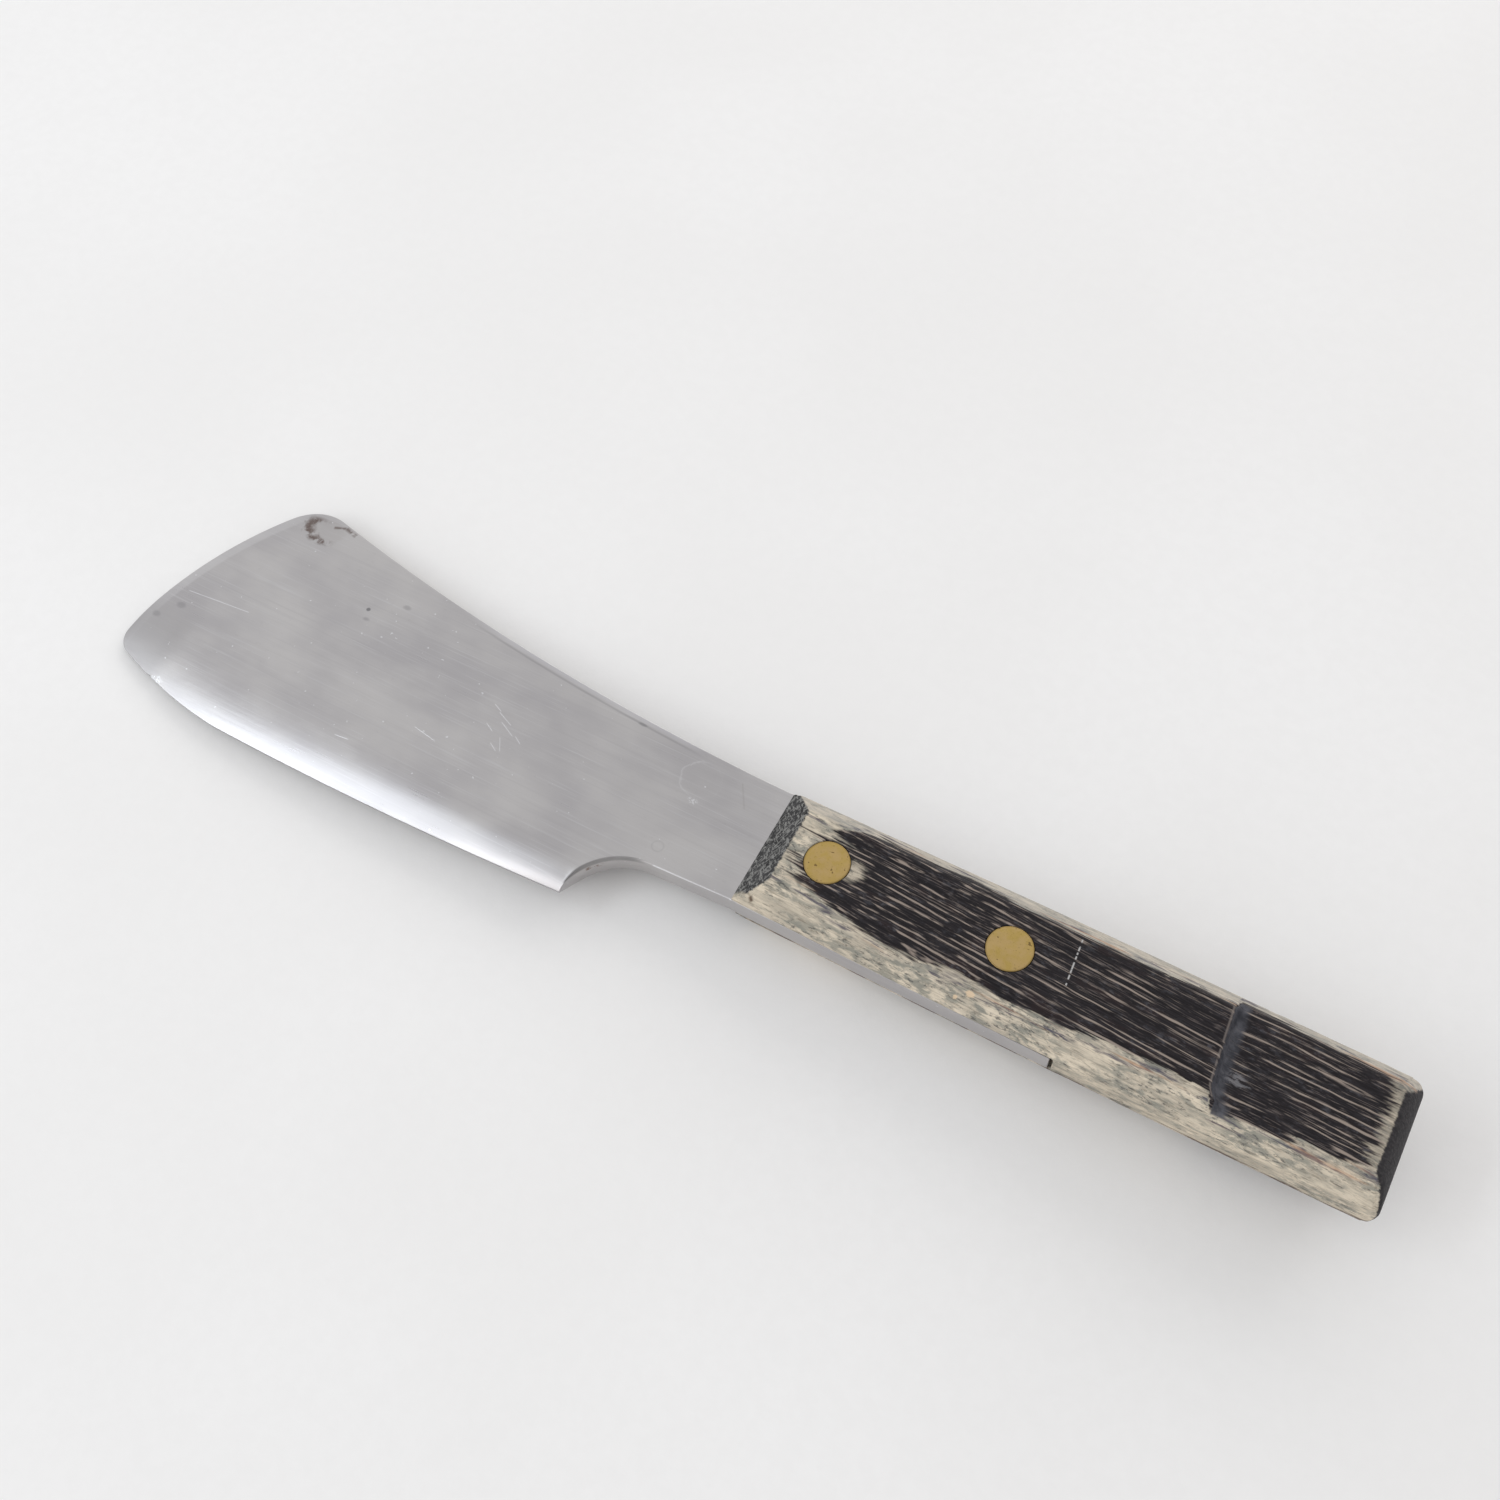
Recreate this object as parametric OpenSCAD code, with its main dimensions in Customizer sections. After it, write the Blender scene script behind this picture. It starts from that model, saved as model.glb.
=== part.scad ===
// A wide-bladed butcher's knife. The flat tang fills a saw cut in the front half of a one-piece
// wooden handle, and two brass cutler's rivets hold it there. Each rivet is a tube half and a stud half.
// Lengths are in millimetres. +X runs to the butt, +Y to the spine and +Z up, with the knife lying
// flat. The origin is at the middle of the knife's box, level with the lower face of the handle.

/* [Blade outline] */
// From the front of the handle to the far end of the blade's end curve
blade_length = 133; // [90:0.5:200]
// Radius of the curved blade end
end_radius = 71; // [40:1:150]
// Height of the end curve's centre below the knife's axis
end_centre_drop = 21; // [0:0.5:40]
// Radius of the corner between the blade end and the spine
spine_corner_radius = 10; // [3:0.5:14]
// Radius of the corner between the blade end and the cutting edge
edge_corner_radius = 4; // [1:0.5:8]
// Radius of the hollow curve of the spine
spine_radius = 512; // [300:1:2000]
// Lowest point of the spine's curve, behind the front of the handle
spine_low_point = 6.5; // [0:0.5:30]
// Depth of the cutting edge below the knife's axis
edge_drop = 25; // [18:0.5:40]
// Radius of the long, nearly straight part of the cutting edge
edge_radius = 900; // [400:10:3000]
// Lowest point of the cutting edge, in front of the handle
edge_low_point = 85; // [40:1:120]
// Radius of the belly, where the cutting edge turns up to the end
belly_radius = 98; // [50:1:200]
// Where the belly begins, in front of the handle
belly_start = 104; // [60:0.5:150]
// How many degrees the edge turns up at once where the belly begins
belly_turn = 3; // [1:0.5:8]

/* [Finger notch] */
// Radius of the notch's curve behind the heel
notch_radius = 12.5; // [6:0.5:18]
// From the front of the handle to the middle of the notch's curve
notch_centre = 15.3; // [10:0.5:40]
// Half width of the neck at the top of the notch
neck_half_width = 12; // [8:0.25:16]
// How far inside the handle's corners the neck's edges end
neck_inset = 0.1; // [0.05:0.05:1]

/* [Blade section] */
// Thickness of the tang and of the back of the blade
blade_thickness = 4.6; // [2:0.1:8]
// Thickness of the blade at its far end
end_thickness = 2.6; // [1:0.1:6]
// Where the blade begins to thin, in front of the handle
taper_start = 30; // [5:1:80]
// Thickness left along the cutting edge
edge_thickness = 0.5; // [0.2:0.1:2]
// Thickness where the long ground face would reach the edge at the belly
face_thickness = 1; // [0.6:0.1:2]
// Width of the long ground face at the belly
face_width = 11; // [6:0.5:18]
// Height above the heel at which the long ground face would run out
face_end_height = 3; // [1:0.5:4]
// Width of the steeper edge bevel at the heel
bevel_width = 5; // [4.5:0.5:9]

/* [Handle] */
// From the front of the handle to the butt
handle_length = 112.5; // [80:0.5:160]
// Greatest width of the handle
handle_width = 23.8; // [16:0.2:36]
// Thickness of the handle
handle_height = 16.4; // [12:0.2:26]
// Radius of the slight swell of each side
side_swell_radius = 3500; // [800:50:9000]
// Widest place, behind the front of the handle
side_swell_centre = 58; // [20:1:100]
// Width of the flat upper and lower faces
flat_width = 14.6; // [8:0.2:22]
// Height of the upright band along each side, between the chamfers
side_band_height = 6; // [5:0.2:12]
// Length of the slope down to the blade at the front
front_slope_length = 5.3; // [1:0.1:15]
// Radius of the rounded butt, seen from the side
butt_radius = 12; // [9:0.5:40]

/* [Thumb ramp] */
// From the front of the handle to the step of the ramp
ramp_start = 82.7; // [60:0.5:140]
// Depth of the step
ramp_depth = 2.3; // [0.5:0.1:5]
// Length of the sloping face of the step
step_slope_length = 1.2; // [0.2:0.1:5]

/* [Tang and saw cut] */
// Length of the tang inside the handle
tang_length = 59; // [40:0.5:100]
// Gap between the tang's end and the end of the saw cut
tang_end_gap = 0.6; // [0.1:0.1:3]
// Clearance between the tang and each side of the saw cut
saw_cut_clearance = 0.05; // [0.02:0.01:0.3]

/* [Rivets] */
// Centre of the front rivet behind the front of the handle
front_rivet_place = 12.8; // [8:0.2:40]
// Distance between the two rivets
rivet_spacing = 33.4; // [15:0.2:80]
// Diameter of the rivet heads
rivet_head_diameter = 8; // [5:0.1:12]
// Thickness of the rivet heads
rivet_head_thickness = 1.4; // [0.6:0.1:3]
// Outside diameter of the rivet's tube
rivet_tube_diameter = 4.8; // [3:0.1:7]
// Wall thickness of the rivet's tube
rivet_tube_wall = 0.8; // [0.4:0.1:1.5]
// Length of the stud that lies inside the tube
stud_overlap = 8; // [3:0.5:12]
// Clearance around each rivet part, measured on the radius
rivet_clearance = 0.05; // [0.02:0.01:0.2]
// Gap between the end of the tube and the stud's head
tube_end_gap = 0.3; // [0.1:0.1:2]

/* [Hidden] */
$fn = 96;
mid_height = handle_height / 2;
half_thick = blade_thickness / 2;
half_width = handle_width / 2;
half_end = end_thickness / 2;
half_edge = edge_thickness / 2;
centre_shift = (blade_length - handle_length) / 2;
reach = blade_length + handle_length;
// The sides of the handle are arcs: their centres lie far out on the other side.
side_centre = side_swell_radius - half_width;
front_half_width = sqrt(pow(side_swell_radius, 2) - pow(side_swell_centre, 2)) - side_centre;
// The spine's arc and the neck's lower edge end just inside the corners of the handle's front.
neck_end_half_width = front_half_width - neck_inset;
spine_centre_y = neck_end_half_width + sqrt(pow(spine_radius, 2) - pow(spine_low_point, 2));
spine_centre_pt = [spine_low_point, spine_centre_y];
// Cutting edge: a long arc, which the belly's arc crosses at a small angle
edge_centre_pt = [-edge_low_point, edge_radius - edge_drop];
edge_turn = asin((belly_start - edge_low_point) / edge_radius);
belly_pt = edge_centre_pt - edge_radius * [sin(edge_turn), cos(edge_turn)];
belly_angle = edge_turn + belly_turn;
belly_centre_pt = belly_pt + belly_radius * [sin(belly_angle), cos(belly_angle)];
join_width = 0.2;
end_centre_pt = [end_radius - blade_length, -end_centre_drop];
// Corner rounds, each tangent to its two neighbours
spine_corner_pt = meet(spine_centre_pt, spine_radius + spine_corner_radius,
    end_centre_pt, end_radius - spine_corner_radius, -1);
edge_corner_pt = meet(belly_centre_pt, belly_radius - edge_corner_radius,
    end_centre_pt, end_radius - edge_corner_radius, -1);
// Grind: a long flat face on each side, and a steeper bevel that follows the cutting edge
taper_rate = (half_thick - half_end) / (blade_length - taper_start);
belly_half = half_thick - (belly_start - taper_start) * taper_rate;
bevel_rise = (half_thick - half_edge) / bevel_width;
face_rise = (belly_half - face_thickness / 2) / face_width;
face_top_y = face_width - edge_drop;
heel_x = -notch_centre - notch_radius;
heel_y = edge_centre_pt[1] - sqrt(pow(edge_radius, 2) - pow(heel_x + edge_low_point, 2));
face_run = (half_thick - belly_half - face_rise * (heel_y + face_end_height - face_top_y))
    / (belly_start + heel_x);
rear_rivet_place = front_rivet_place + rivet_spacing;
tube_radius = rivet_tube_diameter / 2;
tube_hole_radius = tube_radius - rivet_tube_wall;
head_radius = rivet_head_diameter / 2;

// The point where two circles cross: side 1 lies to the left of the way from p to q.
function meet(p, r, q, s, side) =
    let (gap = norm(q - p), way = (q - p) / gap)
    let (along = (gap * gap + r * r - s * s) / (2 * gap))
    let (out = sqrt(r * r - along * along))
    p + along * way + side * out * [-way[1], way[0]];
function toward(p, q) = (q - p) / norm(q - p);
// Enough facets to hold an arc of any radius to about a hundredth of a millimetre
function facets(radius) = 24 * ceil(sqrt(radius));

module disc(place, radius) {
    translate(place)
        circle(r = radius, $fn = facets(radius));
}

// Cuts a corner back to a round between two directions seen from the round's centre.
module corner_cut(place, radius, way_a, way_b) {
    far = radius * 8;
    difference() {
        polygon([place, place + far * way_a, place + far * (way_a + way_b), place + far * way_b]);
        disc(place, radius);
    }
}

module handle_plan() {
    intersection() {
        disc([side_swell_centre, -side_centre], side_swell_radius);
        disc([side_swell_centre, side_centre], side_swell_radius);
        translate([0, -handle_width])
            square([handle_length, 2 * handle_width]);
    }
}

// All of the blade in front of the handle
module blade_plan() {
    difference() {
        translate([-blade_length, -2 * edge_drop])
            square([blade_length, 4 * edge_drop]);
        disc(spine_centre_pt, spine_radius);
        edge_waste();
        belly_waste();
        end_waste();
        notch_waste();
        corner_cut(spine_corner_pt, spine_corner_radius,
            toward(spine_corner_pt, spine_centre_pt), toward(end_centre_pt, spine_corner_pt));
        corner_cut(edge_corner_pt, edge_corner_radius,
            toward(end_centre_pt, edge_corner_pt), toward(belly_centre_pt, edge_corner_pt));
    }
}

module edge_waste() {
    difference() {
        translate([-blade_length - 5, -3 * edge_drop])
            square([blade_length + 6, 3 * edge_drop]);
        disc(edge_centre_pt, edge_radius);
    }
}

module belly_waste() {
    difference() {
        belly_side();
        disc(belly_centre_pt, belly_radius);
    }
}

module end_waste() {
    difference() {
        translate([-blade_length - 5, -3 * edge_drop])
            square([end_centre_pt[0] + blade_length + 5, 6 * edge_drop]);
        disc(end_centre_pt, end_radius);
    }
}

module notch_waste() {
    disc([-notch_centre, -neck_half_width - notch_radius], notch_radius);
    polygon([[-notch_centre, -neck_half_width], [0, -neck_end_half_width],
        [1, -neck_end_half_width], [1, -3 * edge_drop], [-notch_centre, -3 * edge_drop]]);
}

// Everything beyond the start of the belly, toward the blade's end
module belly_side() {
    translate(belly_pt)
        rotate(-edge_turn - belly_turn / 2)
            translate([-2 * blade_length - join_width, -2 * edge_drop])
                square([2 * blade_length, 3 * edge_drop]);
}

// Side view of the blade: it thins evenly toward its end.
module blade_profile() {
    polygon([[-blade_length, -half_end], [-taper_start, -half_thick],
        [tang_length, -half_thick], [tang_length, half_thick],
        [-taper_start, half_thick], [-blade_length, half_end]]);
}

// What is ground away above an arc of the cutting edge
module arc_bevel(place, radius) {
    translate([place[0], place[1], 0])
        rotate_extrude($fn = facets(radius))
            polygon([[radius - 2 * bevel_width, half_edge + 2 * bevel_rise * bevel_width],
                [radius + 4, half_edge - 4 * bevel_rise],
                [radius + 4, 3 * blade_thickness],
                [radius - 2 * bevel_width, 3 * blade_thickness]]);
}

// What is ground away above the long flat face
module face_waste() {
    slope = norm([face_run, face_rise]);
    translate([-belly_start, face_top_y, belly_half])
        rotate([0, atan(slope), atan2(-face_rise, -face_run)])
            translate([-reach, -reach, 0])
                cube([2 * reach, 2 * reach, blade_thickness]);
}

module upper_grind() {
    intersection() {
        arc_bevel(belly_centre_pt, belly_radius);
        translate([0, 0, -blade_thickness])
            linear_extrude(height = 5 * blade_thickness)
                belly_side();
    }
    intersection() {
        arc_bevel(edge_centre_pt, edge_radius);
        translate([-blade_length, -2 * edge_drop, -blade_thickness])
            cube([blade_length - notch_centre, 3 * edge_drop, 5 * blade_thickness]);
    }
    face_waste();
}

module place_knife() {
    translate([centre_shift, 0, mid_height])
        children();
}

module blade() {
    color([0.68, 0.67, 0.68])
        place_knife()
            difference() {
                intersection() {
                    translate([0, 0, -blade_thickness])
                        linear_extrude(height = 2 * blade_thickness)
                            union() {
                                blade_plan();
                                intersection() {
                                    handle_plan();
                                    translate([0, -handle_width])
                                        square([tang_length, 2 * handle_width]);
                                }
                            }
                    rotate([90, 0, 0])
                        linear_extrude(height = 4 * edge_drop, center = true)
                            blade_profile();
                }
                upper_grind();
                mirror([0, 0, 1])
                    upper_grind();
                rivet_hole(front_rivet_place);
                rivet_hole(rear_rivet_place);
            }
}

module rivet_hole(place) {
    translate([place, 0, -handle_height])
        cylinder(r = tube_radius + rivet_clearance, h = 2 * handle_height);
}

// Side view of the handle: front slope, upper and lower faces with their ramps, round butt
module handle_profile() {
    ramp_end = handle_length - butt_radius + sqrt(pow(butt_radius, 2) - pow(mid_height, 2));
    ramp_floor = mid_height - ramp_depth;
    difference() {
        polygon([[0, half_thick], [front_slope_length, mid_height],
            [ramp_start, mid_height], [ramp_start + step_slope_length, ramp_floor],
            [ramp_end, mid_height], [handle_length + 2, mid_height],
            [handle_length + 2, -mid_height], [ramp_end, -mid_height],
            [ramp_start + step_slope_length, -ramp_floor], [ramp_start, -mid_height],
            [front_slope_length, -mid_height], [0, -half_thick]]);
        difference() {
            translate([handle_length - butt_radius, -handle_height])
                square([butt_radius + 3, 2 * handle_height]);
            disc([handle_length - butt_radius, 0], butt_radius);
        }
    }
}

// End view of the handle: flat above and below, chamfered, with an upright band on each side
module handle_section() {
    flat = flat_width / 2;
    band = side_band_height / 2;
    polygon([[-flat, -mid_height], [flat, -mid_height], [half_width, -band], [half_width, band],
        [flat, mid_height], [-flat, mid_height], [-half_width, band], [-half_width, -band]]);
}

module handle() {
    saw_half = half_thick + saw_cut_clearance;
    color([0.2, 0.17, 0.17])
        place_knife()
            difference() {
                intersection() {
                    translate([0, 0, -mid_height])
                        linear_extrude(height = handle_height)
                            handle_plan();
                    rotate([90, 0, 0])
                        linear_extrude(height = 2 * handle_width, center = true)
                            handle_profile();
                    rotate([90, 0, 90])
                        linear_extrude(height = handle_length + 2)
                            handle_section();
                }
                translate([-1, -handle_width, -saw_half])
                    cube([tang_length + tang_end_gap + 1, 2 * handle_width, 2 * saw_half]);
                rivet_seat(front_rivet_place);
                rivet_seat(rear_rivet_place);
            }
}

module rivet_seat(place) {
    rivet_hole(place);
    for (side = [0, 1])
        mirror([0, 0, side])
            translate([place, 0, mid_height - rivet_head_thickness])
                cylinder(r = head_radius + rivet_clearance, h = rivet_head_thickness + 1);
}

module rivet_head() {
    translate([0, 0, mid_height - rivet_head_thickness])
        cylinder(r = head_radius, h = rivet_head_thickness);
}

// The tube half: its head lies in the lower face of the handle.
module rivet_tube(place) {
    tube_length = handle_height - rivet_head_thickness - tube_end_gap;
    color([0.71, 0.63, 0.36])
        place_knife()
            translate([place, 0, 0])
                difference() {
                    union() {
                        mirror([0, 0, 1])
                            rivet_head();
                        translate([0, 0, -mid_height])
                            cylinder(r = tube_radius, h = tube_length);
                    }
                    translate([0, 0, -mid_height + rivet_head_thickness])
                        cylinder(r = tube_hole_radius, h = handle_height);
                }
}

// The stud half: its head lies in the upper face of the handle.
module rivet_stud(place) {
    stud_length = rivet_head_thickness + tube_end_gap + stud_overlap;
    color([0.71, 0.63, 0.36])
        place_knife()
            translate([place, 0, 0])
                union() {
                    rivet_head();
                    translate([0, 0, mid_height - stud_length])
                        cylinder(r = tube_hole_radius - rivet_clearance, h = stud_length);
                }
}

module front_rivet_tube() {
    rivet_tube(front_rivet_place);
}

module front_rivet_stud() {
    rivet_stud(front_rivet_place);
}

module rear_rivet_tube() {
    rivet_tube(rear_rivet_place);
}

module rear_rivet_stud() {
    rivet_stud(rear_rivet_place);
}

blade();
handle();
front_rivet_tube();
front_rivet_stud();
rear_rivet_tube();
rear_rivet_stud();
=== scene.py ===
"""The looks of a wide-bladed butcher's knife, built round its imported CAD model.

The blade, the handle and the four rivet parts are each made again as a finished mesh over their
CAD node: the blade with its convex grind, softened rims and a nicked edge, the handle worn and
slightly uneven, and the rivets with eased rims and small dents.

Lengths inside the making of a piece are millimetres in the knife's own frame: x runs from the
front of the handle toward the butt, y toward the spine, and z up from the middle of the tang.
`to_metres` puts such points into the scene.
"""
import math

import bmesh
import bpy
import numpy as np
from mathutils import Matrix, Vector, noise


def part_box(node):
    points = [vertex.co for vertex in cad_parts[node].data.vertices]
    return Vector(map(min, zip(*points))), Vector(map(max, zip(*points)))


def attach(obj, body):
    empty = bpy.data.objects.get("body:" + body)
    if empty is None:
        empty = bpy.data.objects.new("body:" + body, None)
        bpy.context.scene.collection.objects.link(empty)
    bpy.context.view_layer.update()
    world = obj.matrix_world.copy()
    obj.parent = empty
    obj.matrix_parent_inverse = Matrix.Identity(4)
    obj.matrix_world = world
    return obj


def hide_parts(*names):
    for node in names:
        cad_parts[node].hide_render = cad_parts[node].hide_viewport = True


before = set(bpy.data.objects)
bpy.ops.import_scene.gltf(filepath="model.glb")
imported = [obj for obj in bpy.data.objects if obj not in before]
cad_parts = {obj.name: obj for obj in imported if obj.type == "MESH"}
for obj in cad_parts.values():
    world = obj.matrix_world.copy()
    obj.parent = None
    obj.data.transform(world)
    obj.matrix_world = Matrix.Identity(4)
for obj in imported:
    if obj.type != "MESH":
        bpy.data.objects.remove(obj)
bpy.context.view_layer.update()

MM = 0.001

# ---------------- sizes, from the frame
HANDLE_LOW, HANDLE_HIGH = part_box("handle")
BLADE_LOW, BLADE_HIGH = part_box("blade")
HANDLE_LENGTH = 112.5
ORIGIN = Vector((
    HANDLE_HIGH.x - HANDLE_LENGTH * MM,
    (HANDLE_LOW.y + HANDLE_HIGH.y) / 2,
    (HANDLE_LOW.z + HANDLE_HIGH.z) / 2,
))
HALF_HEIGHT = (HANDLE_HIGH.z - HANDLE_LOW.z) / 2 / MM
HALF_THICK = (BLADE_HIGH.z - BLADE_LOW.z) / 2 / MM
EDGE_DROP = -BLADE_LOW.y / MM
TANG_END = (BLADE_HIGH.x - ORIGIN.x) / MM

# Outline of the blade, with the same arcs as the CAD model
END_CENTRE, END_RADIUS = np.array([-62.0, -21.0]), 71.0
SPINE_CORNER_RADIUS, EDGE_CORNER_RADIUS = 10.0, 4.0
SPINE_RADIUS, SPINE_LOW_POINT = 512.0, 6.5
EDGE_RADIUS, EDGE_LOW_POINT = 900.0, 85.0
BELLY_RADIUS, BELLY_START, BELLY_TURN = 98.0, 104.0, math.radians(3.0)
NOTCH_RADIUS, NOTCH_TOP = 12.5, np.array([-15.3, -12.0])
SIDE_RADIUS, SIDE_CENTRE_X, HALF_WIDTH, NECK_INSET = 3500.0, 58.0, 11.9, 0.1

# Section of the blade
TAPER_START, BLADE_LENGTH, END_HALF_THICK, EDGE_HALF_THICK = -30.0, 133.0, 1.3, 0.25
GRIND_HEEL, GRIND_BELLY = 30.0, 92.0
GRIND_HEEL_WIDTH, GRIND_BELLY_WIDTH, GRIND_POWER, GRIND_OVERRUN = 5.8, 12.2, 2.2, 14.0
END_EASE_WIDTH, END_EASE_DEPTH = 2.4, 0.14
WAVE_DEPTH = 0.012
NICKS = ((-122.2, 0.26, 0.7), (-120.8, 0.20, 0.4), (-119.6, 0.16, 0.4), (-118.3, 0.08, 0.4))
RIVET_BORE = 2.45

# Mesh of the blade: columns along each part of it, rows across it, and steps round its rims
COLUMNS_EDGE, COLUMNS_NOTCH, COLUMNS_NECK, COLUMNS_TANG, ROWS = 300, 46, 34, 60, 120
RIM_RADIUS, EDGE_RIM_RADIUS, RIM_STEPS, RIM_CHANGE = 0.10, 0.08, 4, 12
HEEL_COLUMN_X = -29.5
EDGE_SPREAD, NECK_SPREAD, TANG_SPREAD, ROW_SPREAD = 0.8, 0.3, 0.6, 0.85

# Handle
FLAT_HALF_WIDTH, BAND_HALF_HEIGHT = 7.3, 3.0
FRONT_SLOPE_LENGTH, BUTT_RADIUS = 5.3, 12.0
RAMP_START, RAMP_FOOT, RAMP_DEPTH = 82.7, 83.9, 2.3
RAMP_END = HANDLE_LENGTH - BUTT_RADIUS + math.sqrt(BUTT_RADIUS ** 2 - HALF_HEIGHT ** 2)
SLOT_HALF = HALF_THICK + 0.05
FAR_CORNER_RADIUS, NEAR_CORNER_RADIUS = 2.2, 1.0
RAMP_SLANT, RAMP_SLANT_FROM, RAMP_SHIFT_REACH = 0.085, 7.0, 5.5
RAMP_CURL, RAMP_CURL_START, RAMP_CURL_WIDTH = 1.3, 5.6, 2.4

# Wear of the handle: its mesh, and where the saw cut, the rivets and the butt change the smoothing
VOXEL, SMOOTH_ROUNDS, SMOOTHING, MOST_SMOOTHING = 0.26, 14, 0.5, 0.9
SLOT_KEEP, SLOT_BACK, RIVET_KEEP, BUTT_WEAR = (0.25, 0.7), (60.2, 60.9), (4.3, 4.9), (106.0, 109.0)
WAVE_PUSH, GRAIN_PUSH, CHIP_PUSH = 0.09, 0.045, -0.35

# Rivets
RIVETS = ("front_rivet", "rear_rivet")
HEAD_THICK, TUBE_RADIUS, TUBE_HOLE, STUD_RADIUS = 1.4, 2.4, 1.6, 1.55
STUD_EASE, TUBE_EASE = 0.2, 0.1
HEAD_RIM, HEAD_STEPS, HEAD_RIM_STEPS = 0.16, 14, 4
DOME, DENT_DEPTH, DENT_SCALE, DENT_REACH = 0.05, 0.035, 0.45, 0.4

# Floor, surroundings and camera
FLOOR_SIZE, FLOOR_GAP = 6.0, 0.02
FLOOR_LOW, FLOOR_HIGH, FLOOR_GRAIN = (0.875, 0.86, 0.85), (0.905, 0.892, 0.885), (0.845, 0.83, 0.82)
WORLD_SEEN_RIGHT, WORLD_SEEN_LEFT, WORLD_LIGHT = 0.58, 0.80, 0.70
WORLD_COLOUR = (0.985, 0.99, 1.0)
CAMERA_PLACE = Vector((71.53, -99.40, 251.33))
CAMERA_WAY = Vector((-0.28886, 0.40160, -0.86907))
CAMERA_UP = Vector((-0.39732, 0.77561, 0.49048))
LENS, SENSOR_WIDTH, CLIP_START = 38.378, 36.0, 0.01

# Each softbox: its name, place, aim, size, power and colour
SOFTBOXES = (
    ("key_strip", (-0.70, -0.60, 0.85), (-0.70, -0.60, 0.0), (0.31, 1.05), 3.8, (0.86, 0.94, 1.0)),
    ("front_softbox", (-0.75, -1.10, 0.75), (0.0, 0.0, 0.0), (1.1, 0.8), 3.0, (1.0, 0.99, 0.97)),
    ("far_softbox", (0.15, 1.05, 0.60), (0.0, 0.0, 0.0), (1.5, 0.7), 4.4, (1.0, 0.985, 0.96)),
)


def to_metres(points):
    """Points in millimetres in the knife's own frame, as metres in the scene."""
    return np.asarray(points, float) * MM + np.array(ORIGIN)


def in_mm(points):
    """Points in metres in the scene, as millimetres in the knife's own frame."""
    return (np.array(points) - np.array(ORIGIN)) / MM


def new_object(name, data):
    """A new object in the scene."""
    made = bpy.data.objects.new(name, data)
    bpy.context.scene.collection.objects.link(made)
    return made


def smooth_step(value, low, high):
    t = np.clip((value - low) / (high - low), 0.0, 1.0)
    return t * t * (3.0 - 2.0 * t)


def noise_at(points, scale, seed):
    """Smooth seeded noise from -1 to 1 at points in millimetres, with a scale for each axis."""
    places = np.asarray(points) * np.asarray(scale) + seed * 17.3
    return np.array([noise.noise(Vector(place)) for place in places])


# ---------------- plane curves
def meet(p, r, q, s, side):
    """The point where two circles cross; side 1 lies to the left of the way from p to q."""
    gap = np.linalg.norm(q - p)
    way = (q - p) / gap
    along = (gap * gap + r * r - s * s) / (2.0 * gap)
    out = math.sqrt(r * r - along * along)
    return p + along * way + side * out * np.array([-way[1], way[0]])


def on_circle(centre, radius, toward):
    """The point of a circle on the ray from its centre through another point."""
    way = toward - centre
    return centre + radius * way / np.linalg.norm(way)


def arc(centre, start, end, step=0.2):
    """Points of the arc round centre from start to end, the short way round."""
    radius = np.linalg.norm(start - centre)
    first = math.atan2(*(start - centre)[::-1])
    turn = (math.atan2(*(end - centre)[::-1]) - first + math.pi) % (2 * math.pi) - math.pi
    angles = first + turn * np.linspace(0.0, 1.0, max(8, int(abs(turn) * radius / step)))
    return centre + radius * np.column_stack([np.cos(angles), np.sin(angles)])


def at_fractions(path, fractions):
    """Points of a path at fractions of its length."""
    lengths = np.concatenate([[0.0], np.cumsum(np.linalg.norm(np.diff(path, axis=0), axis=1))])
    places = np.asarray(fractions) * lengths[-1]
    return np.column_stack([np.interp(places, lengths, path[:, k]) for k in (0, 1)])


def eased(count, ease):
    """Fractions from 0 to 1, closer together at both ends by the ease, which is below 1."""
    t = np.linspace(0.0, 1.0, count)
    return t - ease * np.sin(2.0 * math.pi * t) / (2.0 * math.pi)


def side_of_handle(side, count):
    """The handle's slightly swollen side, from its front to the tang's end."""
    x = np.linspace(0.0, TANG_END, count)
    y = np.sqrt(SIDE_RADIUS ** 2 - (x - SIDE_CENTRE_X) ** 2) - SIDE_RADIUS + HALF_WIDTH
    return np.column_stack([x, side * y])


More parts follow.
